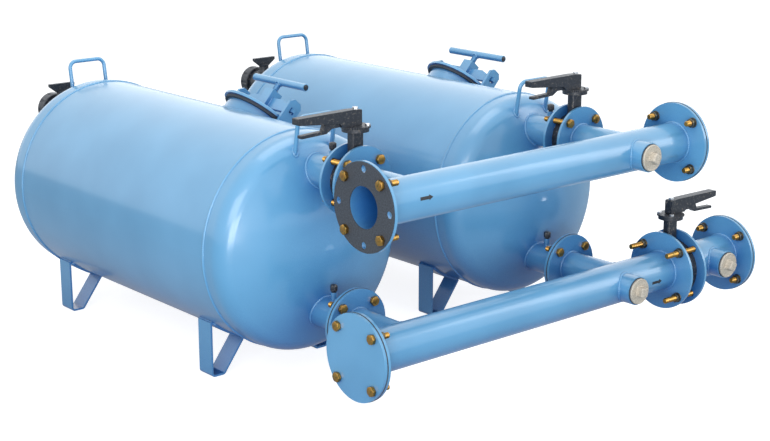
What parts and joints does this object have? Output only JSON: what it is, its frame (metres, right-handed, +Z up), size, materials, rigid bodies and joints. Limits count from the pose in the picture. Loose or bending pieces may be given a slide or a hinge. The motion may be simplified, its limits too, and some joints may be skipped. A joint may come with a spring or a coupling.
{
  "type": "irrigation filter",
  "caption": "Twin horizontal pressure tank media filter with inlet and outlet manifolds, butterfly valves, clamp manholes and drain valves.",
  "frame": {"origin": "centre of the inlet bore, on the front face of its gasket", "axes": "+X along both manifolds from the inlet to the outlet, +Y back along the tanks, +Z up"},
  "size_m": [1.608, 1.9363, 0.7885],
  "materials": {
    "blue_enamel": "gloss",
    "black_rubber": "matte",
    "black_nylon": "satin",
    "yellow_zinc": "satin",
    "cast_plug": "satin",
    "white_plastic": "matte",
    "steel_core": "satin"
  },
  "bodies": {
    "filter_frame": {"tank1_shell": "blue_enamel", "tank1_front_head": "blue_enamel", "tank1_rear_head": "blue_enamel", "tank1_legs": "blue_enamel", "tank1_lift_handles": "blue_enamel", "tank1_manhole_neck": "blue_enamel", "tank1_lid_gasket": "black_rubber", "tank1_manhole_lid": "blue_enamel", "tank1_lid_ears": "blue_enamel", "tank1_lid_bridge": "blue_enamel", "tank1_upper_nozzle": "blue_enamel", "tank1_lower_nozzle": "blue_enamel", "tank1_underdrain": "white_plastic", "tank1_drain_body": "black_nylon", "tank2_shell": "blue_enamel", "tank2_front_head": "blue_enamel", "tank2_rear_head": "blue_enamel", "tank2_legs": "blue_enamel", "tank2_lift_handles": "blue_enamel", "tank2_manhole_neck": "blue_enamel", "tank2_lid_gasket": "black_rubber", "tank2_manhole_lid": "blue_enamel", "tank2_lid_ears": "blue_enamel", "tank2_lid_bridge": "blue_enamel", "tank2_upper_nozzle": "blue_enamel", "tank2_lower_nozzle": "blue_enamel", "tank2_underdrain": "white_plastic", "tank2_drain_body": "black_nylon", "upper_manifold": "blue_enamel", "lower_manifold": "blue_enamel", "outlet_spool": "blue_enamel", "blind_flanges": "blue_enamel", "flange_gaskets": "black_rubber", "port_plugs": "cast_plug", "test_plugs": "black_nylon", "flange_bolts": "yellow_zinc", "flange_nuts": "yellow_zinc", "tank1_valve_body": "black_nylon", "tank1_valve_liner": "black_rubber", "tank2_valve_body": "black_nylon", "tank2_valve_liner": "black_rubber", "outlet_valve_body": "black_nylon", "outlet_valve_liner": "black_rubber"},
    "tank1_screw_foot": {"tank1_screw_foot": "yellow_zinc"},
    "tank1_lid_screw": {"tank1_lid_screw": "blue_enamel"},
    "tank1_drain_handle": {"tank1_drain_handle": "black_nylon", "tank1_drain_ball": "white_plastic"},
    "tank2_screw_foot": {"tank2_screw_foot": "yellow_zinc"},
    "tank2_lid_screw": {"tank2_lid_screw": "blue_enamel"},
    "tank2_drain_handle": {"tank2_drain_handle": "black_nylon", "tank2_drain_ball": "white_plastic"},
    "tank1_valve_lever": {"tank1_valve_lever": "black_nylon", "tank1_valve_disc": "steel_core"},
    "tank1_valve_trigger": {"tank1_valve_trigger": "black_nylon"},
    "tank2_valve_lever": {"tank2_valve_lever": "black_nylon", "tank2_valve_disc": "steel_core"},
    "tank2_valve_trigger": {"tank2_valve_trigger": "black_nylon"},
    "outlet_valve_lever": {"outlet_valve_lever": "black_nylon", "outlet_valve_disc": "steel_core"},
    "outlet_valve_trigger": {"outlet_valve_trigger": "black_nylon"}
  },
  "joints": [
    {"name": "tank1_foot_lift", "type": "slide", "parent": "filter_frame", "child": "tank1_screw_foot", "axis": [0.6691, 0, 0.7431], "range_m": [0, 0.0061]},
    {"name": "tank1_lid_screw_turn", "type": "hinge", "parent": "tank1_screw_foot", "child": "tank1_lid_screw", "pos_m": [0.3925, 0.9515, 0.04267], "axis": [0.6691, 0, 0.7431], "range_deg": [0, 540]},
    {"name": "tank1_drain_turn", "type": "hinge", "parent": "filter_frame", "child": "tank1_drain_handle", "pos_m": [0.165, 1.74309, -0.04], "axis": [0, 0, 1], "range_deg": [0, 90]},
    {"name": "tank2_foot_lift", "type": "slide", "parent": "filter_frame", "child": "tank2_screw_foot", "axis": [0.6691, 0, 0.7431], "range_m": [0, 0.0061]},
    {"name": "tank2_lid_screw_turn", "type": "hinge", "parent": "tank2_screw_foot", "child": "tank2_lid_screw", "pos_m": [1.2125, 0.9515, 0.04267], "axis": [0.6691, 0, 0.7431], "range_deg": [0, 540]},
    {"name": "tank2_drain_turn", "type": "hinge", "parent": "filter_frame", "child": "tank2_drain_handle", "pos_m": [0.985, 1.74309, -0.04], "axis": [0, 0, 1], "range_deg": [0, 90]},
    {"name": "tank1_valve_turn", "type": "hinge", "parent": "filter_frame", "child": "tank1_valve_lever", "pos_m": [0.165, 0.229, 0], "axis": [0, 0, 1], "range_deg": [0, 90]},
    {"name": "tank1_valve_trigger_squeeze", "type": "hinge", "parent": "tank1_valve_lever", "child": "tank1_valve_trigger", "pos_m": [0.077, 0.229, 0.1695], "axis": [0, 1, 0], "range_deg": [0, 10], "stiffness_Nm_per_rad": 1.5, "springref_deg": -14.32},
    {"name": "tank2_valve_turn", "type": "hinge", "parent": "filter_frame", "child": "tank2_valve_lever", "pos_m": [0.985, 0.229, 0], "axis": [0, 0, 1], "range_deg": [0, 90]},
    {"name": "tank2_valve_trigger_squeeze", "type": "hinge", "parent": "tank2_valve_lever", "child": "tank2_valve_trigger", "pos_m": [0.897, 0.229, 0.1695], "axis": [0, 1, 0], "range_deg": [0, 10], "stiffness_Nm_per_rad": 1.5, "springref_deg": -14.32},
    {"name": "outlet_valve_turn", "type": "hinge", "parent": "filter_frame", "child": "outlet_valve_lever", "pos_m": [1.19, 0.024, -0.388], "axis": [0, 0, 1], "range_deg": [-90, 0]},
    {"name": "outlet_valve_trigger_squeeze", "type": "hinge", "parent": "outlet_valve_lever", "child": "outlet_valve_trigger", "pos_m": [1.278, 0.024, -0.19745], "axis": [0, -1, 0], "range_deg": [0, 10], "stiffness_Nm_per_rad": 1.5, "springref_deg": -14.32}
  ],
  "couplings": [
    {"joint": "tank1_foot_lift", "follows": "tank1_lid_screw_turn", "m_per_rad": 0.00063662},
    {"joint": "tank2_foot_lift", "follows": "tank2_lid_screw_turn", "m_per_rad": 0.00063662}
  ]
}
